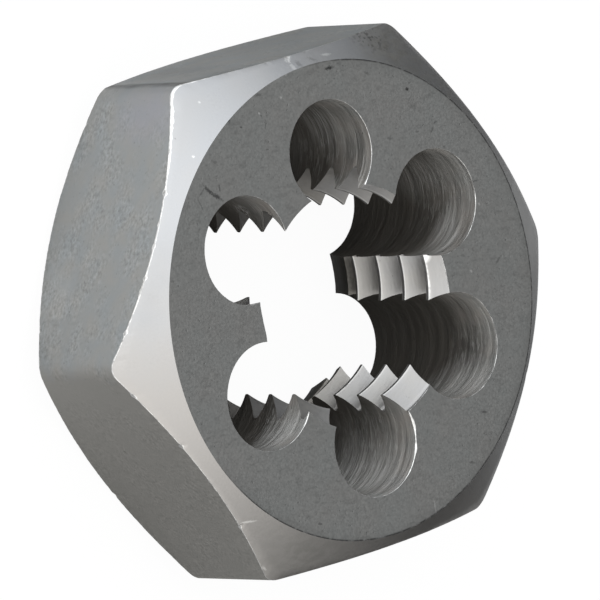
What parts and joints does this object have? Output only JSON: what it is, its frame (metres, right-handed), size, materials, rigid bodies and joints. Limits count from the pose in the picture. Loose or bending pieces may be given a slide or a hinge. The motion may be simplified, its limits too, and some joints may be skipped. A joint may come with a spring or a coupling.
{
  "type": "hex threading die",
  "caption": "Solid hexagon rethreading die with a coarse internal thread broken into cutting lands by round clearance holes.",
  "frame": {"origin": "on the thread's axis at the back face, the face with the tapered mouth", "axes": "+Z along the thread's axis towards the front face, +X square to one of the six flats, +Y through a corner"},
  "size_m": [0.035, 0.04, 0.0129],
  "materials": {
    "tool_steel": "satin ground steel"
  },
  "bodies": {
    "root": {"threading_die": "tool_steel"}
  },
  "joints": []
}
